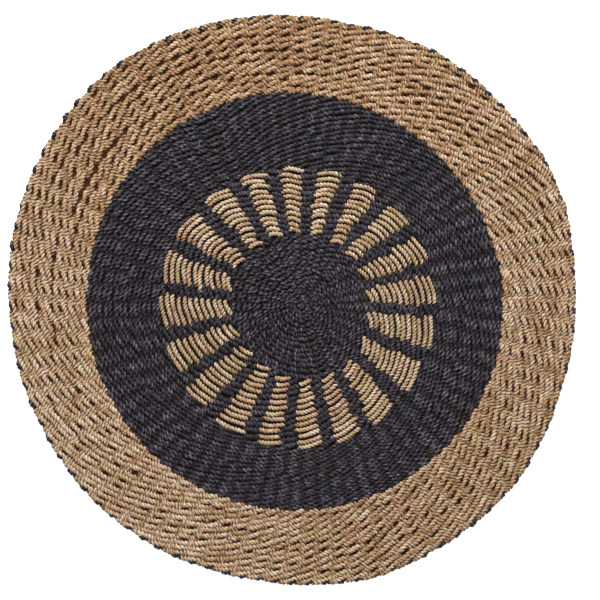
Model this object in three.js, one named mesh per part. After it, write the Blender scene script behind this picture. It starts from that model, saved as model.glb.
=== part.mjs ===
// A round rug, twined by hand from two-ply seagrass cord on radial warps.
// Millimetres, +Z up, lying on z = 0, with the middle of its box above the origin.
// The weave's centre isn't the outline's centre: every wave of the outline is measured
// about the weave's centre, and the finished slab is then moved over the origin.
import * as THREE from 'three';

// Driving dimensions
const MEAN_RADIUS = 500.2;
const CORD = 7.6;
const THINNEST = 9.6;
const BAND_EASE = 1.5 * CORD;
const BAND_DIP = 0.8;

// The rim: at each warp the black warp end is turned back over the last row as a knob
const WARPS_AT_RIM = 96;
const STEPS_PER_WARP = 4;
const KNOB_RISE = 1.6;
const KNOB_REACH = 3.2;

// The woven bands from the middle out: the share of the radius where each ends, and how
// far its cords stand above those of the thinnest band
const BANDS = [
  { name: 'black heart', ends: 0.24, stands: 0.0 },
  { name: 'checked ring', ends: 0.488, stands: 1.2 },
  { name: 'black ring', ends: 0.726, stands: 0.3 },
  { name: 'natural border', ends: 1.0, stands: 1.4 },
];
const HEART = BANDS[0];
const BORDER = BANDS[BANDS.length - 1];

// The hand-made outline: how many waves go round the rug, their height and where one peaks
const OUTLINE_WAVES = [
  { count: 1, height: 21.1, peakDegrees: 135.3 },
  { count: 2, height: 5.6, peakDegrees: 131.1 },
  { count: 3, height: 3.6, peakDegrees: 31.7 },
  { count: 4, height: 3.8, peakDegrees: 38.3 },
  { count: 7, height: 1.0, peakDegrees: 21.5 },
  { count: 8, height: 0.7, peakDegrees: 16.4 },
  { count: 10, height: 0.8, peakDegrees: 27.9 },
  { count: 11, height: 0.9, peakDegrees: 27.9 },
];

// How unevenly the upper face lies, growing from the middle to the rim
const SWELL_WAVES = [
  { count: 3, height: 0.35, peakDegrees: 20 },
  { count: 5, height: 0.3, peakDegrees: 55 },
];

const SEAGRASS = { color: 0xa38564, roughness: 0.82, metalness: 0 };

const topOf = (band) => THINNEST + band.stands;

function wavesAt(angle, waves) {
  let sum = 0;
  for (const wave of waves) {
    const fromPeak = angle - THREE.MathUtils.degToRad(wave.peakDegrees);
    sum += wave.height * Math.cos(wave.count * fromPeak);
  }
  return sum;
}

// 1 on a warp end, 0 halfway to the next one
function knobAt(angle) {
  return 0.5 + 0.5 * Math.cos(WARPS_AT_RIM * angle);
}

// The edge, from the floor round the last row's cord to the border's upper face
function edgePoints() {
  return [
    new THREE.Vector2(MEAN_RADIUS - CORD / 2, 0),
    new THREE.Vector2(MEAN_RADIUS, topOf(BORDER) / 2),
    new THREE.Vector2(MEAN_RADIUS - CORD / 2, topOf(BORDER)),
    new THREE.Vector2(MEAN_RADIUS - 2 * CORD, topOf(BORDER)),
  ];
}

// Where two bands meet, seen from the rim inwards: down into the dip and up again
function bandEdgePoints(outer, inner) {
  const radius = inner.ends * MEAN_RADIUS;
  const dip = Math.min(topOf(outer), topOf(inner)) - BAND_DIP;
  return [
    new THREE.Vector2(radius + BAND_EASE, topOf(outer)),
    new THREE.Vector2(radius, dip),
    new THREE.Vector2(radius - BAND_EASE, topOf(inner)),
  ];
}

// The half section that is turned: along the floor, round the edge and back over the top
function halfSection() {
  const points = [new THREE.Vector2(0, 0), ...edgePoints()];
  for (let i = BANDS.length - 1; i > 0; i -= 1) {
    points.push(...bandEdgePoints(BANDS[i], BANDS[i - 1]));
  }
  points.push(new THREE.Vector2(0, topOf(HEART)));
  return points;
}

// Gives the turned slab its outline, its knobs and its uneven upper face
function shapeByHand(geometry) {
  const position = geometry.getAttribute('position');
  for (let i = 0; i < position.count; i += 1) {
    const x = position.getX(i);
    const y = position.getY(i);
    const z = position.getZ(i);
    const angle = Math.atan2(y, x);
    const radius = Math.hypot(x, y);
    const share = radius / MEAN_RADIUS;
    const atRim = THREE.MathUtils.smoothstep(radius, MEAN_RADIUS - 2 * CORD, MEAN_RADIUS - CORD / 2);
    const onTop = THREE.MathUtils.smoothstep(z, 0.6 * THINNEST, 0.8 * THINNEST);
    const knob = atRim * knobAt(angle);
    const reach = radius + share * wavesAt(angle, OUTLINE_WAVES) + knob * KNOB_REACH;
    const rise = onTop * (share * wavesAt(angle, SWELL_WAVES) + knob * KNOB_RISE);
    position.setXYZ(i, reach * Math.cos(angle), reach * Math.sin(angle), z + rise);
  }
}

// Moves the slab so that the middle of its box stands above the origin
function centreOverOrigin(geometry) {
  geometry.computeBoundingBox();
  const middle = geometry.boundingBox.getCenter(new THREE.Vector3());
  geometry.translate(-middle.x, -middle.y, 0);
}

function buildRug() {
  const geometry = new THREE.LatheGeometry(halfSection(), WARPS_AT_RIM * STEPS_PER_WARP);
  geometry.rotateX(Math.PI / 2);
  shapeByHand(geometry);
  centreOverOrigin(geometry);
  const rug = new THREE.Mesh(geometry, new THREE.MeshStandardMaterial(SEAGRASS));
  rug.name = 'rug';
  return rug;
}

const group = new THREE.Group();
group.add(buildRug());
export default group;
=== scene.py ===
"""A round seagrass rug, lying on a floor: two-ply cords twined round black radial warps.

Each row is two cords that pass over and under the warps in turn and twist about each
other between them. Sizes are millimetres in the tables, and metres in the meshes.
"""

import math
from typing import NamedTuple

import bmesh
import bpy
import numpy as np
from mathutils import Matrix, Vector


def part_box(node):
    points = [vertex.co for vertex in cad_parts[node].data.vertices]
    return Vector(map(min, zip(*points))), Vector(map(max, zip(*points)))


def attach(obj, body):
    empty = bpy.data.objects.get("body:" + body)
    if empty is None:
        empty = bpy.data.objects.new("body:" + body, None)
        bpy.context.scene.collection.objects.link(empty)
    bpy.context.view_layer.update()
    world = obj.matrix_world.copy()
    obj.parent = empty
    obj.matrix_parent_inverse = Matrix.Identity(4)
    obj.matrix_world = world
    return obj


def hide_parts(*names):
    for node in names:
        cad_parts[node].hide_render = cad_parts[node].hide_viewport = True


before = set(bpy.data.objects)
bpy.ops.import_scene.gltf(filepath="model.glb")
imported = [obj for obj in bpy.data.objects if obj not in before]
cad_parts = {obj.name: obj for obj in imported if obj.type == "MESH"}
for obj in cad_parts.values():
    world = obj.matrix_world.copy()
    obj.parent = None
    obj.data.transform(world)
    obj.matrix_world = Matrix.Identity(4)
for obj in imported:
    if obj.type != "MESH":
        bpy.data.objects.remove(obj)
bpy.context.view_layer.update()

MM = 0.001
TURN = 2 * math.pi


class Wave(NamedTuple):
    """A slow wave round the rug: how many go round, its height and where one peaks."""

    count: int
    height: float
    peak_degrees: float


class Edge(NamedTuple):
    """A closed line round the weave's centre, in millimetres."""

    mean: float
    waves: tuple


class Slant(NamedTuple):
    """How far each float falls from one side of its row to the other, as a share of the row.

    Between two angles, in degrees, the weaver's hand was different.
    """

    usual: float
    changed: float
    start: float
    end: float


class Cord(NamedTuple):
    """A cord as it lies: its width, its thickness as a share of that and its twist."""

    width: float
    squash: float
    lobe: float  # the length along the cord from one ply to the next


class Weave(NamedTuple):
    """How a band's cords pass the warps."""

    top: float  # how far the upper floats reach above the floor
    crisp: float  # the greater, the shorter the way that a cord lies over a warp
    loose: float  # how much farther apart than usual the rows lie halfway across
    dive_shade: float  # painted shade: how much darker the cords are where they dive between two warps
    pinch: float  # how much narrower they are right over a warp, as a share of their width
    slant: Slant


class Shade(NamedTuple):
    """How pale a band's cords are, from dark, -1, to pale, 1: on the whole and round the rug."""

    mean: float
    waves: tuple


class Band(NamedTuple):
    """A band of rows between two edges, all woven over the same warps."""

    name: str
    inner: Edge
    outer: Edge
    rows: int
    warps: int
    cord: Cord
    weave: Weave
    shade: Shade
    seed: int


class Fineness(NamedTuple):
    """How many rings a cord has for each ply that passes, where it shows and where it is under."""

    over: float
    under: float


# Edges, from the middle out
MIDDLE = Edge(0.0, ())
EYE_EDGE = Edge(22.0, ())
INNER_HEART_EDGE = Edge(62.0, (Wave(2, 1.5, 111.5),))
HEART_EDGE = Edge(123.0, (Wave(1, 1.6, 155.0), Wave(2, 5.2, 111.5), Wave(3, 1.6, 52.0)))
CHECK_EDGE = Edge(242.7, (Wave(1, 6.5, 197.0), Wave(2, 2.4, 102.5), Wave(3, 2.0, 25.0)))
MIDDLE_RING_EDGE = Edge(296.0, (Wave(1, 9.5, 165.0), Wave(2, 2.7, 115.0), Wave(3, 1.2, 20.0)))
BLACK_EDGE = Edge(363.4, (Wave(1, 14.3, 149.6), Wave(2, 3.0, 127.4), Wave(3, 1.5, 108.1)))
RIM = Edge(
    500.2,
    (
        Wave(1, 21.1, 135.3),
        Wave(2, 5.6, 131.1),
        Wave(3, 3.6, 31.7),
        Wave(4, 3.8, 38.3),
        Wave(7, 1.0, 21.5),
        Wave(8, 0.7, 16.4),
        Wave(10, 0.8, 27.9),
        Wave(11, 0.9, 27.9),
    ),
)

# The row nearest the rim lies a little inside the outline, under the turned-back warp ends, and
# the straight part of each warp ends farther in
LAST_ROW_EDGE = Edge(RIM.mean - 3.0, RIM.waves)
WARP_END_EDGE = Edge(RIM.mean - 14.0, RIM.waves)

INNER_HEART_CORD = Cord(8.8, 0.67, 7.4)
OUTER_HEART_CORD = Cord(10.0, 0.61, 8.0)
INNER_RING_CORD = Cord(9.4, 0.65, 8.6)
OUTER_RING_CORD = Cord(10.2, 0.60, 9.4)
CHECK_CORD = Cord(8.5, 0.72, 6.2)
SPOKE_CORD = Cord(11.4, 0.51, 6.6)
BORDER_CORD = Cord(11.0, 0.61, 6.8)
WARP_CORD = Cord(5.6, 0.86, 9.0)
RIM_LOOP_CORD = Cord(8.8, 0.8, 5.6)

HEART_WEAVE = Weave(
    top=11.2, crisp=1.2, loose=0.0, dive_shade=0.5, pinch=0.0, slant=Slant(0.62, -0.46, 118, 288)
)
RING_WEAVE = Weave(
    top=11.6, crisp=1.2, loose=0.0, dive_shade=1.1, pinch=0.0, slant=Slant(0.78, -0.56, 116, 182)
)
CHECK_WEAVE = Weave(
    top=11.6, crisp=1.0, loose=0.0, dive_shade=0.0, pinch=0.0, slant=Slant(0.66, -0.62, 88, 153)
)
BORDER_WEAVE = Weave(
    top=12.8, crisp=1.9, loose=0.10, dive_shade=0.2, pinch=0.09, slant=Slant(0.60, 0.50, 85, 182)
)

HEART_SHADE = Shade(0.16, ())
CHECK_SHADE = Shade(0.22, ())
# The waves round the black ring and the border are partly painted shade: the ring's second wave
# darkens it towards the top and the bottom of the picture, where the light falls across its rows,
# and the border's first darkens the side nearest the key light
RING_SHADE = Shade(-0.12, (Wave(1, 0.14, 270), Wave(2, 0.22, 5)))
BORDER_SHADE = Shade(-0.14, (Wave(1, 0.30, 262), Wave(2, 0.34, 22)))

EYE = Band(
    "eye", MIDDLE, EYE_EDGE, rows=3, warps=10,
    cord=INNER_HEART_CORD, weave=HEART_WEAVE, shade=HEART_SHADE, seed=11,
)
HEART_IN = Band(
    "heart_in", EYE_EDGE, INNER_HEART_EDGE, rows=5, warps=20,
    cord=INNER_HEART_CORD, weave=HEART_WEAVE, shade=HEART_SHADE, seed=12,
)
HEART_OUT = Band(
    "heart_out", INNER_HEART_EDGE, HEART_EDGE, rows=7, warps=40,
    cord=OUTER_HEART_CORD, weave=HEART_WEAVE, shade=HEART_SHADE, seed=13,
)
CHECKS = Band(
    "checks", HEART_EDGE, CHECK_EDGE, rows=12, warps=60,
    cord=CHECK_CORD, weave=CHECK_WEAVE, shade=CHECK_SHADE, seed=14,
)
RING_IN = Band(
    "ring_in", CHECK_EDGE, MIDDLE_RING_EDGE, rows=7, warps=60,
    cord=INNER_RING_CORD, weave=RING_WEAVE, shade=RING_SHADE, seed=15,
)
RING_OUT = Band(
    "ring_out", MIDDLE_RING_EDGE, BLACK_EDGE, rows=8, warps=80,
    cord=OUTER_RING_CORD, weave=RING_WEAVE, shade=RING_SHADE, seed=16,
)
BORDER = Band(
    "border", BLACK_EDGE, LAST_ROW_EDGE, rows=11, warps=96,
    cord=BORDER_CORD, weave=BORDER_WEAVE, shade=BORDER_SHADE, seed=17,
)
WARP_SEED = 51
RIM_LOOP_SEED = 52

# The border's rows are three pieces, each from one row up to another
BORDER_PARTS = (("inner", 0, 4), ("middle", 4, 8), ("outer", 8, 11))

# Where the hand-spaced warps stand against evenly spaced ones, in degrees, how far the border's
# warps lean back between its two edges, and where that ends, as a share of the way across it
DRIFT = 4.155
DRIFT_WAVES = (Wave(1, 3.26, 12.8), Wave(2, 2.41, 37.1), Wave(3, 0.62, 114.6), Wave(4, 0.34, 71.0))
LEAN = -1.5
LEAN_ENDS = 1.2

# The middle of the rug's thickness, and the room that the lower floats keep above the floor
MID = 6.0
FLOOR_GAP = 0.7

# Places in the border where a warp shows between rows that lie apart: how many there are, their
# mean place across the border, its spread and limits, and how far apart the rows are pushed
LOOSE_PLACES = 60
LOOSE_ACROSS, LOOSE_SPREAD = 0.5, 0.17
LOOSE_LIMITS = (0.15, 0.85)
LOOSE_OPENING = (0.8, 2.0)

# How far such a place reaches: round the rug, as a share of the way to the next warp, and across
# the rows, in millimetres. The greater the last one, the more sudden it is between two rows
LOOSE_ROUND = 0.42
LOOSE_DEEP = 12.0
LOOSE_CRISP = 4

# The blocks in the ring of checks: how much of the turn they take, round the rug and from the
# inner row to the outer one, and how far their rows arch, as a share of the row
CHECK_COUNT = 20
CHECK_SHARE = 0.625
CHECK_SHARE_WAVES = (Wave(1, 0.02, 253), Wave(2, 0.04, 0))
CHECK_SHARE_GROWTH = 0.08
CHECK_ARCH = Slant(0.12, 0.30, 45, 178)

# How far the outermost row's blocks lie round from the innermost row's, and how unevenly the
# blocks are placed and how uneven their widths are: all as shares of a block and a space
CHECK_LEAN_WAVES = (Wave(1, 0.08, 212),)
CHECK_SHIFT_SPREAD = 0.036
CHECK_SHARE_SPREAD = 0.045

# How much of a block and a space the cords take to dive, how high they lie and how much each
# warp lifts them
CHECK_DIVE = 0.055
CHECK_RISE = 0.95
CHECK_RIPPLE = 0.10

# How far the blocks' straw leans to olive, and how dark the black cords between them are
CHECK_HUE = 0.15
SPOKE_TONE = -0.6

# A cord's section, as shares of its half width: two tight plies, a little flatter than round
PLY_SECTION = (
    (0.80, 0.55),
    (0.0, 0.45),
    (-0.80, 0.55),
    (-0.80, -0.55),
    (0.0, -0.45),
    (0.80, -0.55),
)
SIDES = len(PLY_SECTION)
REACH_OF_SECTION = max(math.hypot(*corner) for corner in PLY_SECTION)

# Where round the section its first waist lies, as a share of the way round
WAIST = 1 / SIDES

# The quads that close a cord's first ring and its last, as corners of the section
END_QUADS = ((0, 1, 4, 5), (1, 2, 3, 4), (5, 4, 1, 0), (4, 3, 2, 1))

FINE = Fineness(3.4, 2.2)
PLAIN = Fineness(3.0, 2.0)
WARP_FINENESS = Fineness(1.6, 1.6)
RIM_LOOP_FINENESS = Fineness(3.0, 3.0)
FEWEST_RINGS = 4

# The length of cord over which its colour changes, and how much it does: from patch to patch
# and from ply to ply
PATCH = 28.0
TONE_BY_PATCH, TONE_BY_PLY = 0.75, 0.45
HUE_BY_PATCH, HUE_BY_PLY = 0.7, 0.5

# How unevenly a cord is spun: its twist, in plies, and its width, as a share of it. A slow
# change takes this many plies
UNEVEN_TWIST = 0.45
UNEVEN_WIDTH = 0.09
SLOW_CHANGE = 3

# How unevenly the rows are woven, as shares of the space between two rows: slow and quick
# bends of a row, floats that lie a little higher up or lower down, and their slants and heights
BENDS = ((14, 0.07), (40, 0.07))
FLOAT_NUDGE = 0.17
CHECK_NUDGE = 0.05
UNEVEN_SLANT = 0.35
UNEVEN_RISE = 0.13

# Over how many degrees the slant changes, to either side of its start and its end
SLANT_EASE = 5

# Steps along a row for each warp that it passes, and round the outline
ROW_STEPS = 20
CHECK_ROW_STEPS = 30
OUTLINE_STEPS = 3600

# The heights, from -1 under a warp to 1 over it, between which a cord comes out of the painted
# shade of its dive, gets pinched, and comes in sight
OUT_OF_DIVE_SHADE = (0.05, 0.65)
PINCHED = (0.1, 0.9)
IN_SIGHT = (-0.6, 0.0)
CHECK_IN_SIGHT = (-0.4, 0.3)

# A warp's steps, and its bends up and down: how many there are and how far they go
WARP_STEPS = 24
WARP_BENDS, WARP_BEND = 5, 0.3

# A warp end's way round the last row, in millimetres along the rim, out from it and up:
# out under the row, round its edge and back over it at a slant
RIM_LOOP_WAY = (
    (0.0, -15.0, 5.6),
    (-3.0, -8.0, 4.0),
    (-5.5, -4.5, 3.8),
    (-5.0, -2.6, 7.0),
    (-1.0, -1.6, 9.6),
    (4.0, -2.8, 10.2),
    (6.0, -5.4, 9.2),
    (6.5, -10.0, 6.4),
)
RIM_LOOP_STEPS = 48
RIM_LOOP_SOFTENINGS = 3
RIM_LOOP_TONE = -1.2

# How unlike each other they are: how much longer along the rim than usual, how far along it,
# how far in from it and how thick; and how much of that is left at an end, and the taper's length
RIM_LOOP_STRETCH = (0.8, 1.25)
RIM_LOOP_SHIFT = (-1.2, 1.2)
RIM_LOOP_TUCK = (-3.0, -0.4)
RIM_LOOP_GIRTH = (0.78, 1.12)
RIM_LOOP_TIP = 0.45
RIM_LOOP_TAPER = 0.12

# The dark sheet of painted shade between the floats: half its thickness, how far inside the
# outline it ends, and how close corners of it are merged
BED_HALF = 0.9
BED_INSET = 7.0
BED_MERGE = 0.001

# The flat map's bare edge, and the bare edge of each lane on it as a share of the lane
MAP_EDGE = 0.002
LANE_EDGE = 0.06
LANES_PER_STRAND = 2

TINY = 1e-6


def smooth(value, low, high):
    """0 below low, 1 above high and a soft step between."""
    share = np.clip((value - low) / (high - low), 0.0, 1.0)
    return share * share * (3 - 2 * share)


def waves_at(angle, waves):
    total = np.zeros_like(angle)
    for wave in waves:
        total += wave.height * np.cos(wave.count * (angle - math.radians(wave.peak_degrees)))
    return total


def edge_radius(edge, angle):
    return edge.mean + waves_at(angle, edge.waves)


def weave_centre():
    """Where the weave's centre lies, so that the outline's box is centred on the CAD box."""
    angle = np.linspace(0, TURN, OUTLINE_STEPS)
    radius = edge_radius(RIM, angle)
    across, along = radius * np.cos(angle), radius * np.sin(angle)
    low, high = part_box("rug")
    middle = (low + high) / 2
    return np.array(
        [
            middle.x / MM - (across.min() + across.max()) / 2,
            middle.y / MM - (along.min() + along.max()) / 2,
        ]
    )


CENTRE = weave_centre()


def real_angle(turn, radius=None):
    """The angle at which a warp stands that even spacing would put at turn."""
    drift = math.radians(DRIFT) + np.radians(waves_at(turn, DRIFT_WAVES))
    if radius is None:
        return turn + drift
    border = (radius - BLACK_EDGE.mean) / (RIM.mean - BLACK_EDGE.mean)
    return turn + drift + math.radians(LEAN) * np.clip(border, 0.0, LEAN_ENDS)


def place(angle, radius, height):
    """Points in millimetres from polar ones about the weave's centre."""
    return np.stack(
        [CENTRE[0] + radius * np.cos(angle), CENTRE[1] + radius * np.sin(angle), height], axis=1
    )


def wander(position, count, hand):
    """A random line through about count knots, 3 at least, that joins up from 1 back to 0."""
    knots = hand.uniform(-1, 1, max(3, int(count)))
    return np.interp(position, np.arange(len(knots)) / len(knots), knots, period=1.0)


class Strand(NamedTuple):
    """A cord as rings along its line."""

    line: np.ndarray  # ring centres
    lobes: np.ndarray  # how many plies have passed at each ring, and at the end
    width: np.ndarray  # half the cord's width
    squash: float
    tone: np.ndarray  # from dark, -1, to pale, 1, painted shade included
    hue: np.ndarray  # from rust, -1, to olive, 1
    closed: bool


class Path(NamedTuple):
    """A cord's line, in many small steps."""

    points: np.ndarray
    shown: np.ndarray  # 1 where it lies over the warps, 0 where it is under them
    tone: np.ndarray  # how much paler than usual it is, painted shade included
    girth: np.ndarray  # its width as a share of the usual one


def plain_path(points, tone=0.0, girth=1.0):
    """A path that shows all along."""
    even = np.ones(len(points))
    return Path(points, even, tone * even, girth * even)


def strand_along(path, cord, fineness, hand, closed=True, hue=0.0):
    """Rings along the path, closer together where the cord shows."""
    if closed:
        path = Path(*(np.concatenate([part, part[:1]]) for part in path))
    line, shown, tone, girth = path
    steps = np.linalg.norm(np.diff(line, axis=0), axis=1)
    along = np.concatenate([[0.0], np.cumsum(steps)])
    share = along / along[-1]
    plies = 2 * max(1, round(along[-1] / cord.lobe / 2))
    lobes = share * plies + UNEVEN_TWIST * wander(share, plies / SLOW_CHANGE, hand)
    density = fineness.under + (fineness.over - fineness.under) * shown
    passed = np.diff(share) * plies * (density[1:] + density[:-1]) / 2
    rings = np.concatenate([[0.0], np.cumsum(passed)])
    count = max(FEWEST_RINGS, round(rings[-1]))
    at = np.linspace(0, rings[-1], count + 1)
    keep = slice(0, count if closed else count + 1)
    ring_lobes = np.interp(at, rings, lobes)
    ring_share = np.interp(at, rings, share)[keep]
    ring_line = np.stack([np.interp(at, rings, line[:, axis]) for axis in range(3)], axis=1)[keep]
    uneven = wander(ring_share, plies / SLOW_CHANGE, hand) + wander(ring_share, plies, hand)
    width = cord.width / 2 * (1 + UNEVEN_WIDTH * uneven) * np.interp(at, rings, girth)[keep]
    patches = along[-1] / PATCH
    ring_tone = np.interp(at, rings, tone)[keep]
    ring_tone = ring_tone + TONE_BY_PATCH * wander(ring_share, patches, hand)
    ring_tone = ring_tone + TONE_BY_PLY * wander(ring_share, plies, hand)
    ring_hue = hue + HUE_BY_PATCH * wander(ring_share, patches, hand)
    ring_hue = ring_hue + HUE_BY_PLY * wander(ring_share, plies, hand)
    return Strand(ring_line, ring_lobes, width, cord.squash, ring_tone, ring_hue, closed)


def ring_axes(strand):
    """Each ring's sideways and upward directions."""
    line = strand.line
    if strand.closed:
        ahead = np.roll(line, -1, axis=0) - np.roll(line, 1, axis=0)
    else:
        ahead = np.gradient(line, axis=0)
    ahead /= np.linalg.norm(ahead, axis=1, keepdims=True)
    up = np.array([0.0, 0.0, 1.0])
    side = np.cross(ahead, up)
    side /= np.maximum(np.linalg.norm(side, axis=1, keepdims=True), TINY)
    return side, np.cross(side, ahead)


def skin(strand):
    """The strand's points: the ply section, turned against the clock as the cord runs on."""
    side, upward = ring_axes(strand)
    count = len(strand.line)
    turned = -math.pi * strand.lobes[:count, None]
    across, high = np.array(PLY_SECTION).T
    sideways = np.cos(turned) * across - np.sin(turned) * high
    upwards = (np.sin(turned) * across + np.cos(turned) * high) * strand.squash
    half = strand.width[:, None, None]
    points = strand.line[:, None] + half * (
        sideways[..., None] * side[:, None] + upwards[..., None] * upward[:, None]
    )
    return points.reshape(-1, 3)


def faces_of(strand):
    """Quads as ring and side numbers: rings x sides, and two quads over each free end."""
    count = len(strand.line)
    rings = np.arange(count if strand.closed else count - 1)
    sides = np.arange(SIDES)
    ring, first = np.meshgrid(rings, sides, indexing="ij")
    ring, first = ring.ravel(), first.ravel()
    following, second = ring + 1, (first + 1) % SIDES
    corner_rings = np.stack([ring, following, following, ring], axis=1)
    corner_sides = np.stack([first, first, second, second], axis=1)
    corner_round = np.stack([first, first, first + 1, first + 1], axis=1) / SIDES
    if not strand.closed:
        last = count - 1
        cap_sides = np.array(END_QUADS)
        cap_rings = np.repeat([[0], [0], [last], [last]], cap_sides.shape[1], axis=1)
        corner_rings = np.concatenate([corner_rings, cap_rings])
        corner_sides = np.concatenate([corner_sides, cap_sides])
        corner_round = np.concatenate([corner_round, cap_sides / SIDES])
    return corner_rings, corner_sides, corner_round


def bake_places(strand, corner_rings, corner_round, first_lane, lane_count):
    """Where each corner lies on the flat map: the cord is cut into lanes, one above another."""
    length = -(-len(strand.line) // LANES_PER_STRAND)
    lane = corner_rings[:, :1] // length
    along = np.clip((corner_rings - lane * length) / length, 0, 1)
    inside = LANE_EDGE + (1 - 2 * LANE_EDGE) * corner_round
    across = (first_lane + lane + inside) / lane_count
    return np.stack([MAP_EDGE + (1 - 2 * MAP_EDGE) * along, across], axis=-1)


def cord_object(name, strands, material):
    """One mesh of all the strands, with the maps and attributes that its finish reads."""
    lane_count = LANES_PER_STRAND * len(strands)
    points, corners, cord_map, bake_map, tones, hues = [], [], [], [], [], []
    start = 0
    for index, strand in enumerate(strands):
        count = len(strand.line)
        points.append(skin(strand))
        corner_rings, corner_sides, corner_round = faces_of(strand)
        corners.append(start + (corner_rings % count) * SIDES + corner_sides)
        lobe_ends = strand.lobes if strand.closed else np.append(strand.lobes, strand.lobes[-1])
        cord_map.append(np.stack([lobe_ends[corner_rings], corner_round], axis=-1))
        first_lane = LANES_PER_STRAND * index
        bake_map.append(bake_places(strand, corner_rings, corner_round, first_lane, lane_count))
        tones.append(np.repeat(strand.tone, SIDES))
        hues.append(np.repeat(strand.hue, SIDES))
        start += count * SIDES
    points, corners = np.concatenate(points) * MM, np.concatenate(corners)
    mesh = mesh_of(name, points, corners)
    for map_name, values in (("cord", cord_map), ("OFBake", bake_map)):
        layer = mesh.uv_layers.new(name=map_name)
        layer.uv.foreach_set("vector", np.concatenate(values).astype(np.float32).ravel())
    for attribute, values in (("tone", tones), ("hue", hues)):
        held = mesh.attributes.new(attribute, "FLOAT", "POINT")
        held.data.foreach_set("value", np.concatenate(values).astype(np.float32))
    return placed(name, mesh, material)


def mesh_of(name, points, corners):
    """A smooth mesh of quads whose faces point outwards."""
    a, b, c, d = (points[corners[:, k]] for k in range(4))
    volume = np.einsum("ij,ij->", a, np.cross(b, c)) + np.einsum("ij,ij->", a, np.cross(c, d))
    if volume < 0:
        raise ValueError(f"{name} is inside out")
    mesh = bpy.data.meshes.new(name)
    mesh.vertices.add(len(points))
    mesh.vertices.foreach_set("co", points.astype(np.float32).ravel())
    mesh.loops.add(corners.size)
    mesh.loops.foreach_set("vertex_index", corners.astype(np.int32).ravel())
    mesh.polygons.add(len(corners))
    mesh.polygons.foreach_set("loop_start", np.arange(0, corners.size, 4, dtype=np.int32))
    mesh.polygons.foreach_set("use_smooth", np.ones(len(corners), bool))
    mesh.update(calc_edges=True)
    return mesh


def in_scene(name, data):
    thing = bpy.data.objects.new(name, data)
    bpy.context.scene.collection.objects.link(thing)
    return thing


def placed(name, mesh, material):
    """A finished piece of the rug."""
    piece = in_scene(name, mesh)
    mesh.materials.append(material)
    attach(piece, "root")
    return piece


def float_height(warp, crisp):
    """1 where the cord lies over a warp, -1 under one, and halfway between two warps 0."""
    over = np.cos(np.pi * warp)
    return over * np.abs(over) ** (crisp - 1)


def float_fall(warp):
    """From 1/2 before the warp to -1/2 after it: the two cords twist about each other."""
    return -0.5 * np.sin(np.pi * warp)


def slant_at(angle, slant):
    degrees = np.degrees(angle) % 360
    inside = smooth(degrees, slant.start - SLANT_EASE, slant.start + SLANT_EASE)
    inside = inside * (1 - smooth(degrees, slant.end - SLANT_EASE, slant.end + SLANT_EASE))
    return slant.usual + (slant.changed - slant.usual) * inside


def middle_of(band):
    return (band.weave.top + FLOOR_GAP) / 2


def reach_of(band):
    """How far the floats' lines lie above and below the band's middle."""
    half_cord = band.cord.width / 2 * REACH_OF_SECTION * band.cord.squash
    return band.weave.top - middle_of(band) - half_cord


class Spread(NamedTuple):
    """A warp that shows because the rows over it lie apart."""

    angle: float
    radius: float
    opening: float


def spreads_in(band, count, hand):
    """Random warps of a band where the rows were not beaten up tight."""
    found = []
    for _ in range(count):
        angle = real_angle(np.array([TURN * hand.integers(band.warps) / band.warps]))
        inner, outer = edge_radius(band.inner, angle)[0], edge_radius(band.outer, angle)[0]
        across = np.clip(hand.normal(LOOSE_ACROSS, LOOSE_SPREAD), *LOOSE_LIMITS)
        radius = inner + (outer - inner) * across
        found.append(Spread(angle[0], radius, hand.uniform(*LOOSE_OPENING)))
    return found


def pushed_apart(angle, radius, spreads, band):
    """How far a row is moved by the places where rows lie apart."""
    moved = np.zeros_like(radius)
    reach = TURN / band.warps * LOOSE_ROUND
    for spread in spreads:
        away = (angle - spread.angle + np.pi) % TURN - np.pi
        beside = np.exp(-((away / reach) ** 2))
        step = (radius - spread.radius) / LOOSE_DEEP
        moved += spread.opening * beside * np.tanh(LOOSE_CRISP * step) * np.exp(-(step**2))
    return moved


class Row(NamedTuple):
    """A row's own line, at many places round the rug."""

    warp: np.ndarray  # how many warps have been passed
    angle: np.ndarray
    radius: np.ndarray
    pitch: np.ndarray  # how far apart the rows lie
    slant: np.ndarray


def row_line(band, row, steps, spreads, hand):
    warp = np.arange(band.warps * steps) / steps
    turn = TURN * warp / band.warps
    share = (row + 0.5) / band.rows
    loose = band.weave.loose
    eased = share - loose * math.sin(TURN * share) / TURN
    rough = band.inner.mean + (band.outer.mean - band.inner.mean) * eased
    angle = real_angle(turn, np.full_like(turn, rough))
    inner, outer = edge_radius(band.inner, angle), edge_radius(band.outer, angle)
    radius = inner + (outer - inner) * eased
    pitch = (outer - inner) / band.rows * (1 - loose * math.cos(TURN * share))
    for count, bend in BENDS:
        radius = radius + pitch * bend * wander(turn / TURN, count, hand)
    radius = radius + pushed_apart(angle, radius, spreads, band)
    return Row(warp, angle, radius, pitch, slant_at(angle, band.weave.slant))


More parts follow.
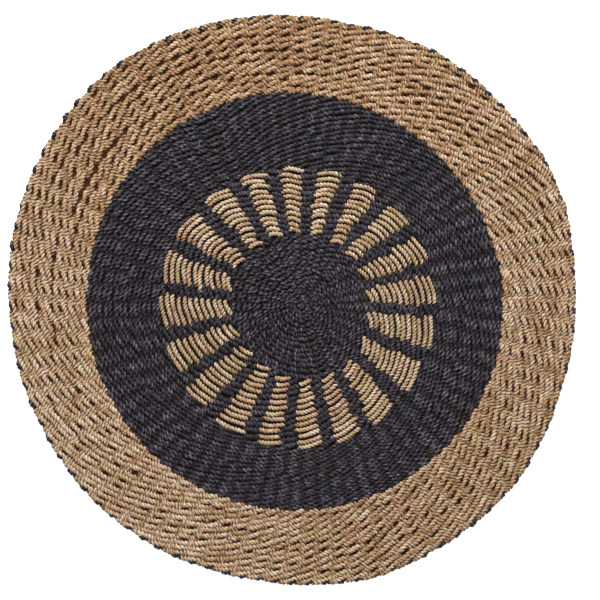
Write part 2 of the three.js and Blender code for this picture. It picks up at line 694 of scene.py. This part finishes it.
def twined_row(band, row, fineness, spreads=()):
    """The two cords of one row."""
    hand = np.random.default_rng([band.seed, row])
    way = row_line(band, row, ROW_STEPS, spreads, hand)
    round_share = way.warp / band.warps
    # Round the rug, the black ring's and the border's tone is partly painted shade
    tone = band.shade.mean + waves_at(way.angle, band.shade.waves)
    strands = []
    for phase in (0, 1):
        height = float_height(way.warp + phase, band.weave.crisp)
        rise = 1 - UNEVEN_RISE * (1 + wander(round_share, band.warps, hand))
        fall = way.slant * way.pitch * (1 + UNEVEN_SLANT * wander(round_share, band.warps, hand))
        nudge = FLOAT_NUDGE * way.pitch * wander(round_share, band.warps, hand)
        radius = way.radius + fall * float_fall(way.warp + phase) + nudge
        points = place(way.angle, radius, middle_of(band) + reach_of(band) * height * rise)
        # Painted shade: the cord is darker where it dives between two warps
        painted_dive_shade = band.weave.dive_shade * (smooth(height, *OUT_OF_DIVE_SHADE) - 1)
        girth = 1 - band.weave.pinch * smooth(height, *PINCHED)
        path = Path(points, smooth(height, *IN_SIGHT), tone + painted_dive_shade, girth)
        strands.append(strand_along(path, band.cord, fineness, hand))
    return strands


def band_strands(band, fineness):
    return [strand for row in range(band.rows) for strand in twined_row(band, row, fineness)]


def border_rows():
    """The border's rows, each with its two cords."""
    hand = np.random.default_rng(BORDER.seed)
    spreads = spreads_in(BORDER, LOOSE_PLACES, hand)
    return [twined_row(BORDER, row, FINE, spreads) for row in range(BORDER.rows)]


def check_row(row):
    """One row through the checks: a natural cord over the blocks, a black one between them."""
    band = CHECKS
    hand = np.random.default_rng([band.seed, row])
    way = row_line(band, row, CHECK_ROW_STEPS, (), hand)
    block = way.warp / (band.warps / CHECK_COUNT)
    nearest = np.round(block).astype(int) % CHECK_COUNT
    shift = hand.normal(0, CHECK_SHIFT_SPREAD, CHECK_COUNT)[nearest]
    shift = shift + waves_at(way.angle, CHECK_LEAN_WAVES) * row / band.rows
    share = CHECK_SHARE + waves_at(way.angle, CHECK_SHARE_WAVES)
    share = share + CHECK_SHARE_GROWTH * (row / band.rows - 0.5)
    share = share + hand.normal(0, CHECK_SHARE_SPREAD, CHECK_COUNT)[nearest]
    from_middle = (block + 0.5) % 1 - 0.5 - shift
    from_spoke = np.where(from_middle > 0, from_middle - 0.5, from_middle + 0.5)
    over = np.tanh((share / 2 - np.abs(from_middle)) / CHECK_DIVE)
    along_block = np.clip(from_middle / (share / 2), -1, 1)
    along_spoke = np.clip(from_spoke / (0.5 - share / 2), -1, 1)
    on_block = np.abs(from_middle) < share / 2
    sway = np.where(on_block, -np.sin(np.pi / 2 * along_block), np.sin(np.pi / 2 * along_spoke))
    arch = np.where(on_block, np.cos(np.pi / 2 * along_block), 0.0)
    arch = arch * slant_at(way.angle, CHECK_ARCH)
    ripple = CHECK_RIPPLE * np.cos(TURN * way.warp)
    strands = []
    cords = ((1, band.cord, band.shade.mean, CHECK_HUE), (-1, SPOKE_CORD, SPOKE_TONE, 0.0))
    for side, cord, tone, hue in cords:
        nudge = CHECK_NUDGE * wander(way.warp / band.warps, band.warps, hand)
        offset = side * way.slant * sway / 2 + arch + nudge
        height = side * over * CHECK_RISE + ripple
        level = middle_of(band) + reach_of(band) * height
        points = place(way.angle, way.radius + way.pitch * offset, level)
        path = plain_path(points, tone=tone)._replace(shown=smooth(side * over, *CHECK_IN_SIGHT))
        strands.append(strand_along(path, cord, FINE, hand, hue=hue))
    return strands


def warp_strand(band, index, hand, start, end):
    """One warp through a band, from where it starts to where it ends."""
    turn = np.array([TURN * index / band.warps])
    first, last = (edge_radius(edge, real_angle(turn))[0] for edge in (start, end))
    steps = np.linspace(0, 1, WARP_STEPS)
    radius = first + (last - first) * steps
    angle = real_angle(np.full_like(radius, turn[0]), radius)
    line = place(angle, radius, middle_of(band) + WARP_BEND * wander(steps, WARP_BENDS, hand))
    return strand_along(plain_path(line), WARP_CORD, WARP_FINENESS, hand, closed=False)


def warps(material):
    """All the warps: new ones start wherever the rows have grown long enough."""
    hand = np.random.default_rng(WARP_SEED)
    strands = []
    stretches = (
        (HEART_IN, EYE_EDGE, INNER_HEART_EDGE),
        (HEART_OUT, INNER_HEART_EDGE, HEART_EDGE),
        (CHECKS, HEART_EDGE, MIDDLE_RING_EDGE),
        (RING_OUT, MIDDLE_RING_EDGE, BLACK_EDGE),
        (BORDER, BLACK_EDGE, WARP_END_EDGE),
    )
    for band, start, end in stretches:
        for index in range(band.warps):
            strands.append(warp_strand(band, index, hand, start, end))
    return cord_object("warps", strands, material)


def smooth_through(knots, values, steps):
    """A soft curve through the values."""
    line = np.interp(steps, knots, values)
    for _ in range(RIM_LOOP_SOFTENINGS):
        inner = (line[:-2] + 2 * line[1:-1] + line[2:]) / 4
        line = np.concatenate([line[:1], inner, line[-1:]])
    return line


def rim_loop(index, hand):
    """The end of one warp, turned back over the last row."""
    turn = np.array([TURN * index / BORDER.warps])
    angle = real_angle(turn, np.array([RIM.mean]))
    radius = edge_radius(RIM, angle)[0]
    along, out, up = np.array(RIM_LOOP_WAY).T
    along = along * hand.uniform(*RIM_LOOP_STRETCH) + hand.uniform(*RIM_LOOP_SHIFT)
    out = out + hand.uniform(*RIM_LOOP_TUCK)
    steps = np.linspace(0, 1, RIM_LOOP_STEPS)
    knots = np.linspace(0, 1, len(along))
    along, out, up = (smooth_through(knots, values, steps) for values in (along, out, up))
    line = place(angle[0] + along / radius, radius + out, up)
    from_end = np.minimum(steps, 1 - steps)
    full = smooth(from_end, 0.0, RIM_LOOP_TAPER)
    girth = hand.uniform(*RIM_LOOP_GIRTH) * (RIM_LOOP_TIP + (1 - RIM_LOOP_TIP) * full)
    path = plain_path(line, RIM_LOOP_TONE, girth)
    return strand_along(path, RIM_LOOP_CORD, RIM_LOOP_FINENESS, hand, closed=False)


def rim_loops(material):
    hand = np.random.default_rng(RIM_LOOP_SEED)
    strands = [rim_loop(index, hand) for index in range(BORDER.warps)]
    return cord_object("rim_loops", strands, material)


def shade_sheet(material):
    """A thin dark sheet between the upper and the lower floats, which also fills the spaces
    between the warps: painted shade seen through the gaps between the cords.
    """
    mesh = bpy.data.meshes.new("shade_sheet")
    shape = bmesh.new()
    low, high, reach = MID - BED_HALF, MID + BED_HALF, RIM.mean - BED_INSET
    profile = ((0.0, low), (reach, low), (reach, high), (0.0, high))
    points = [shape.verts.new((radius, 0, height)) for radius, height in profile]
    edges = [shape.edges.new(pair) for pair in zip(points, points[1:])]
    bmesh.ops.spin(
        shape,
        geom=points + edges,
        cent=(0, 0, 0),
        axis=(0, 0, 1),
        angle=TURN,
        steps=BORDER.warps * 2,
        use_merge=True,
    )
    bmesh.ops.remove_doubles(shape, verts=shape.verts, dist=BED_MERGE)
    bmesh.ops.recalc_face_normals(shape, faces=shape.faces)
    for point in shape.verts:
        angle = math.atan2(point.co.y, point.co.x)
        share = math.hypot(point.co.x, point.co.y) / RIM.mean
        radius = share * edge_radius(RIM, np.array([angle]))[0]
        spot = place(np.array([angle]), np.array([radius]), np.array([point.co.z]))[0]
        point.co = Vector(spot * MM)
    shape.to_mesh(mesh)
    shape.free()
    return placed("shade_sheet", mesh, material)


class Amount:
    """A number that changes over a surface: a shader socket that sums and products can use."""

    def __init__(self, finish, socket):
        self.finish = finish
        self.socket = socket

    def __add__(self, other):
        return self.finish.math("ADD", self, other)

    def __radd__(self, other):
        return self.finish.math("ADD", other, self)

    def __sub__(self, other):
        return self.finish.math("SUBTRACT", self, other)

    def __rsub__(self, other):
        return self.finish.math("SUBTRACT", other, self)

    def __mul__(self, other):
        return self.finish.math("MULTIPLY", self, other)

    def __rmul__(self, other):
        return self.finish.math("MULTIPLY", other, self)


class Finish:
    """A material's node tree."""

    def __init__(self, name):
        self.material = bpy.data.materials.new(name)
        self.material.use_nodes = True
        self.tree = self.material.node_tree
        self.tree.nodes.clear()

    def node(self, kind, settings=None, inputs=None):
        """A node of any kind: its settings first, then the values or links of its sockets."""
        node = self.tree.nodes.new(kind)
        for name, value in (settings or {}).items():
            if name == "stops":
                self.set_stops(node.color_ramp, value)
            else:
                setattr(node, name, value)
        for key, value in (inputs or {}).items():
            if isinstance(value, Amount):
                value = value.socket
            if isinstance(value, bpy.types.NodeSocket):
                self.tree.links.new(value, node.inputs[key])
            else:
                node.inputs[key].default_value = value
        return node

    def set_stops(self, ramp, stops):
        while len(ramp.elements) < len(stops):
            ramp.elements.new(1.0)
        for element, (position, colour) in zip(ramp.elements, stops):
            element.position = position
            element.color = (*colour, 1.0)

    def amount(self, node, output=0):
        return Amount(self, node.outputs[output])

    def math(self, operation, first, second=0.0):
        settings = {"operation": operation}
        return self.amount(self.node("ShaderNodeMath", settings, {0: first, 1: second}))

    def held(self, value):
        """The value, kept between 0 and 1."""
        inputs = {"Value": value, "Min": 0.0, "Max": 1.0}
        return self.amount(self.node("ShaderNodeClamp", None, inputs))

    def step(self, value, low, high):
        """0 below low, 1 above high and a soft step between."""
        settings = {"interpolation_type": "SMOOTHSTEP"}
        inputs = {"Value": value, "From Min": low, "From Max": high}
        return self.amount(self.node("ShaderNodeMapRange", settings, inputs))

    def attribute(self, name):
        settings = {"attribute_type": "GEOMETRY", "attribute_name": name}
        return self.amount(self.node("ShaderNodeAttribute", settings), "Fac")

    def cord_place(self):
        """How many plies along the cord, and how far round it, from 0 to 1."""
        flat = self.node("ShaderNodeUVMap", {"uv_map": "cord"})
        parts = self.node("ShaderNodeSeparateXYZ", None, {0: flat.outputs[0]})
        return self.amount(parts, 0), self.amount(parts, 1)

    def vector(self, x, y, z):
        return self.node("ShaderNodeCombineXYZ", None, {0: x, 1: y, 2: z}).outputs[0]

    def object_place(self):
        return self.node("ShaderNodeTexCoord").outputs["Object"]

    def noise(self, place, scale, detail, roughness):
        inputs = {"Vector": place, "Scale": scale, "Detail": detail, "Roughness": roughness}
        return self.amount(self.node("ShaderNodeTexNoise", None, inputs))

    def ramp(self, value, stops):
        return self.node("ShaderNodeValToRGB", {"stops": stops}, {0: value}).outputs[0]

    def mixed(self, factor, first, second):
        """The first colour where the factor is 0, the second where it is 1."""
        node = self.node("ShaderNodeMix", {"data_type": "RGBA"}, {0: factor})
        for index, value in ((6, first), (7, second)):
            if isinstance(value, tuple):
                node.inputs[index].default_value = (*value, 1.0)
            else:
                self.tree.links.new(value, node.inputs[index])
        return node.outputs[2]

    def bump(self, height, relief):
        inputs = {"Height": height, "Distance": relief, "Strength": 1.0}
        return self.node("ShaderNodeBump", None, inputs).outputs[0]

    def surface(self, base, roughness, normal=None, constants=None):
        inputs = {"Base Color": base, "Roughness": roughness, **(constants or {})}
        if normal is not None:
            inputs["Normal"] = normal
        shader = self.node("ShaderNodeBsdfPrincipled", None, inputs)
        self.node("ShaderNodeOutputMaterial", None, {"Surface": shader.outputs[0]})
        return self.material


class Grain(NamedTuple):
    """A noise in a cord: its stretch round the cord and along it, and the noise's own values."""

    around: float
    along: float
    scale: float
    detail: float
    roughness: float


class Grass(NamedTuple):
    """What a grass cord looks like."""

    stops: tuple  # its colours, from dark to pale
    usual: float  # where on them a cord of tone 0 lies
    by_tone: float  # how far its tone, its blades and its streaks move it
    by_blades: float
    by_streaks: float
    groove_shade: float  # how much painted shade darkens it between its plies and deep in the weave
    depth_shade: float
    dusky: float  # how far from the rug's middle its painted shade is full, and from where on it has none
    clear: float
    rough: float
    smoother: float  # how much smoother its streaks are
    relief: float
    shine: float


class Tint(NamedTuple):
    """A colour that a cord's hue leans to: how strongly, and from which hue on."""

    colour: tuple
    strength: float
    held_back: float


STRAW = Grass(
    stops=(
        (0.00, (0.13, 0.056, 0.020)),
        (0.25, (0.31, 0.164, 0.076)),
        (0.52, (0.55, 0.340, 0.194)),
        (0.78, (0.76, 0.572, 0.412)),
        (1.00, (0.92, 0.800, 0.670)),
    ),
    usual=0.55,
    by_tone=0.20,
    by_blades=1.8,
    by_streaks=0.8,
    groove_shade=0.47,
    depth_shade=0.80,
    dusky=0.0004,
    clear=0.0038,
    rough=0.78,
    smoother=0.30,
    relief=0.0010,
    shine=0.18,
)
DYED_BLACK = Grass(
    stops=(
        (0.00, (0.004, 0.003, 0.004)),
        (0.35, (0.017, 0.012, 0.018)),
        (0.70, (0.053, 0.042, 0.056)),
        (1.00, (0.190, 0.162, 0.190)),
    ),
    usual=0.57,
    by_tone=0.24,
    by_blades=2.7,
    by_streaks=1.4,
    groove_shade=0.48,
    depth_shade=0.85,
    dusky=0.0014,
    clear=0.0050,
    rough=0.70,
    smoother=0.32,
    relief=0.0009,
    shine=0.34,
)
OLIVE = Tint((0.48, 0.43, 0.16), 0.60, 0.12)
RUST = Tint((0.46, 0.23, 0.11), -0.54, 0.16)
SLATE = Tint((0.030, 0.044, 0.050), 0.35, 0.05)
PLUM = Tint((0.050, 0.030, 0.062), -0.35, 0.05)
HUE_BY_BLADES = 1.6

# The colours of the painted shade deep between the cords and between their plies
PAINTED_SHADE_BROWN = (0.096, 0.034, 0.006)
PAINTED_SHADE_IN_CHECKS = (0.078, 0.036, 0.014)
PAINTED_SHADE_BLACK = (0.003, 0.002, 0.003)

# The blades of a ply and the finer streaks in them, and how much streaks and grooves count
# beside the blades in a cord's relief
BLADES = Grain(0.6, 0.65, 2.5, 1.5, 0.5)
STREAKS = Grain(1.0, 0.30, 5.0, 3.0, 0.65)
STREAK_RELIEF = 0.6
GROOVE_RELIEF = 0.2

# How far from a section's waist the groove starts to fade and ends, as shares of half the way
# round
GROOVE = (0.03, 0.23)

# The warps: their colours, the last a brown of painted shade for the border, the grain between the
# first two, their roughness, relief and shine
WARP_DARK = (0.008, 0.005, 0.006)
WARP_WORN = (0.022, 0.015, 0.018)
WARP_SHADE_BROWN = (0.054, 0.020, 0.006)
WARP_GRAIN_SCALE, WARP_GRAIN_DETAIL, WARP_GRAIN_ROUGHNESS = 420.0, 3.0, 0.6
WARP_GRAIN_STEP = (0.42, 0.72)
WARP_ROUGH, WARP_SMOOTHER = 0.95, 0.2
WARP_RELIEF = 0.0008
WARP_SHINE = 0.1

# Painted shade: how brown the warps and the dark sheet turn in the border, and where the border
# starts, in metres from the origin
BORDER_SHADE_BROWNING = 0.9
BORDER_START = (0.345, 0.352)


class Fibres(NamedTuple):
    """The grain of a cord: its blades, the finer streaks in them and the grooves between plies."""

    blades: Amount
    streaks: Amount
    groove: Amount


def fibres(finish):
    """The grain at each place of a cord's surface."""
    along, around = finish.cord_place()
    turned = around * TURN
    across, high = finish.math("COSINE", turned), finish.math("SINE", turned)
    noises = []
    for grain in (BLADES, STREAKS):
        spot = finish.vector(across * grain.around, high * grain.around, along * grain.along)
        noises.append(finish.noise(spot, grain.scale, grain.detail, grain.roughness))
    from_waist = finish.math("FRACT", (around - WAIST) * 2 + 2)
    from_waist = finish.math("MINIMUM", from_waist, 1 - from_waist)
    return Fibres(*noises, 1 - finish.step(from_waist, *GROOVE))


def from_mid_depth(finish):
    """How far above or below the middle of the rug's thickness, in metres."""
    parts = finish.node("ShaderNodeSeparateXYZ", None, {0: finish.object_place()})
    return finish.math("ABSOLUTE", finish.amount(parts, 2) - MID * MM)


def from_origin(finish):
    settings = {"operation": "LENGTH"}
    length = finish.node("ShaderNodeVectorMath", settings, {0: finish.object_place()})
    return finish.amount(length, 1)


def grass_colour(finish, grass, grain, hue, tints):
    """The cord's own colour, before its crevices get dark."""
    tone = finish.attribute("tone")
    fibre_shade = (grain.blades - 0.5) * grass.by_blades + (grain.streaks - 0.5) * grass.by_streaks
    shade = grass.usual + tone * grass.by_tone + fibre_shade
    colour = finish.ramp(finish.held(shade), grass.stops)
    for tint in tints:
        leaning = finish.held(hue * tint.strength - tint.held_back)
        colour = finish.mixed(leaning, colour, tint.colour)
    return colour


def grass_surface(finish, grass, grain, colour, painted_shade_colour):
    """The cord's colour, with painted shade between its plies and near the rug's middle, and its
    relief.
    """
    # Painted shade: darker near the middle of the rug's thickness and between the plies
    in_shade = 1 - finish.step(from_mid_depth(finish), grass.dusky, grass.clear)
    shadow = finish.held(grain.groove * grass.groove_shade + in_shade * grass.depth_shade)
    base = finish.mixed(shadow, colour, painted_shade_colour)
    rough = finish.held(grass.rough - grain.streaks * grass.smoother)
    height = grain.blades + grain.streaks * STREAK_RELIEF - grain.groove * GROOVE_RELIEF
    normal = finish.bump(height, grass.relief)
    return finish.surface(base, rough, normal, {"Specular IOR Level": grass.shine})


def natural_cord():
    finish = Finish("natural_seagrass")
    grain = fibres(finish)
    hue = finish.attribute("hue") + (grain.blades - 0.5) * HUE_BY_BLADES
    colour = grass_colour(finish, STRAW, grain, hue, (OLIVE, RUST))
    # The painted shade deep between the cords is a redder brown in the border than in the checks
    in_border = finish.step(from_origin(finish), *BORDER_START)
    painted_shade_colour = finish.mixed(in_border, PAINTED_SHADE_IN_CHECKS, PAINTED_SHADE_BROWN)
    return grass_surface(finish, STRAW, grain, colour, painted_shade_colour)


def black_cord():
    finish = Finish("black_seagrass")
    grain = fibres(finish)
    colour = grass_colour(finish, DYED_BLACK, grain, finish.attribute("hue"), (SLATE, PLUM))
    return grass_surface(finish, DYED_BLACK, grain, colour, PAINTED_SHADE_BLACK)


def black_warp():
    finish = Finish("black_warp")
    grain = finish.noise(
        finish.object_place(), WARP_GRAIN_SCALE, WARP_GRAIN_DETAIL, WARP_GRAIN_ROUGHNESS
    )
    in_border = finish.step(from_origin(finish), *BORDER_START)
    base = finish.mixed(finish.step(grain, *WARP_GRAIN_STEP), WARP_DARK, WARP_WORN)
    # In the border the warps and the dark sheet turn brown: painted shade
    base = finish.mixed(in_border * BORDER_SHADE_BROWNING, base, WARP_SHADE_BROWN)
    rough = finish.held(WARP_ROUGH - grain * WARP_SMOOTHER)
    normal = finish.bump(grain, WARP_RELIEF)
    return finish.surface(base, rough, normal, {"Specular IOR Level": WARP_SHINE})


def border_cords(material):
    """The border in three pieces."""
    rows = border_rows()
    pieces = []
    for name, first, end in BORDER_PARTS:
        strands = [strand for row in rows[first:end] for strand in row]
        pieces.append(cord_object(f"border_cords_{name}", strands, material))
    return pieces


def black_cords(material):
    """The two parts of the black ring and the heart."""
    pieces = []
    for band in (RING_IN, RING_OUT):
        strands = band_strands(band, PLAIN)
        pieces.append(cord_object(f"{band.name}_cords", strands, material))
    heart = [strand for band in (EYE, HEART_IN, HEART_OUT) for strand in band_strands(band, PLAIN)]
    pieces.append(cord_object("heart_cords", heart, material))
    return pieces


def checks(natural, black):
    """The ring of checks: the cords of its blocks and the black ones between them."""
    rows = [check_row(row) for row in range(CHECKS.rows)]
    blocks, spokes = zip(*rows)
    return [
        cord_object("check_cords", blocks, natural),
        cord_object("spoke_cords", spokes, black),
    ]


def build_rug():
    natural, black, warp_black = natural_cord(), black_cord(), black_warp()
    pieces = border_cords(natural) + black_cords(black) + checks(natural, black)
    pieces += [warps(warp_black), rim_loops(black)]
    # A dark sheet of painted shade between the upper and the lower floats
    sheet_of_shade = shade_sheet(warp_black)
    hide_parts("rug")
    across = RIM.mean * 2 * MM
    area = math.pi * (RIM.mean * MM) ** 2


class Lamp(NamedTuple):
    """A square soft light that is aimed at the origin."""

    name: str
    spot: tuple
    side: float
    power: float


# The stage: a pale floor, soft light from the top of the picture and a camera straight above
LAMPS = (
    Lamp("key", (-0.6, 3.4, 2.7), 1.2, 250.0),
    Lamp("fill", (0.9, -1.2, 2.6), 2.2, 10.0),
)
SKY = 0.28
WHITE = (1.0, 1.0, 1.0, 1.0)
FLOOR_GREY = (0.90, 0.90, 0.90, 1.0)
FLOOR_ROUGH = 0.9
FLOOR_GLOW = 0.75
FLOOR_HALF_SIDE = 40.0
IMAGE_SIDE = 600
IMAGE_MM_PER_PIXEL = 1.742
RUG_MIDDLE_PIXEL = (292.0, 299.5)
LENS = 100.0
SENSOR = 36.0


def floor():
    mesh = bpy.data.meshes.new("floor")
    shape = bmesh.new()
    bmesh.ops.create_grid(shape, x_segments=1, y_segments=1, size=FLOOR_HALF_SIDE)
    shape.to_mesh(mesh)
    shape.free()
    glow = {"Emission Color": WHITE, "Emission Strength": FLOOR_GLOW}
    mesh.materials.append(Finish("pale_floor").surface(FLOOR_GREY, FLOOR_ROUGH, None, glow))
    in_scene("floor", mesh)


def soft_light(lamp):
    light = bpy.data.lights.new(lamp.name, "AREA")
    light.size = lamp.side
    light.energy = lamp.power
    hung = in_scene(lamp.name, light)
    hung.location = lamp.spot
    hung.rotation_euler = (-Vector(lamp.spot)).to_track_quat("-Z", "Y").to_euler()


def soft_sky():
    world = bpy.data.worlds.new("soft_sky")
    world.use_nodes = True
    background = world.node_tree.nodes["Background"]
    background.inputs[0].default_value = WHITE
    background.inputs[1].default_value = SKY
    bpy.context.scene.world = world


def camera_above():
    data = bpy.data.cameras.new("camera")
    data.lens = LENS
    data.sensor_width = SENSOR
    camera = in_scene("camera", data)
    across = (IMAGE_SIDE / 2 - RUG_MIDDLE_PIXEL[0]) * IMAGE_MM_PER_PIXEL * MM
    along = (RUG_MIDDLE_PIXEL[1] - IMAGE_SIDE / 2) * IMAGE_MM_PER_PIXEL * MM
    view_width = IMAGE_SIDE * IMAGE_MM_PER_PIXEL * MM
    camera.location = (across, along, view_width * LENS / SENSOR + BORDER.weave.top * MM)
    bpy.context.scene.camera = camera


def studio():
    floor()
    for lamp in LAMPS:
        soft_light(lamp)
    soft_sky()
    camera_above()
    bpy.context.scene.view_settings.view_transform = "Standard"


build_rug()
studio()
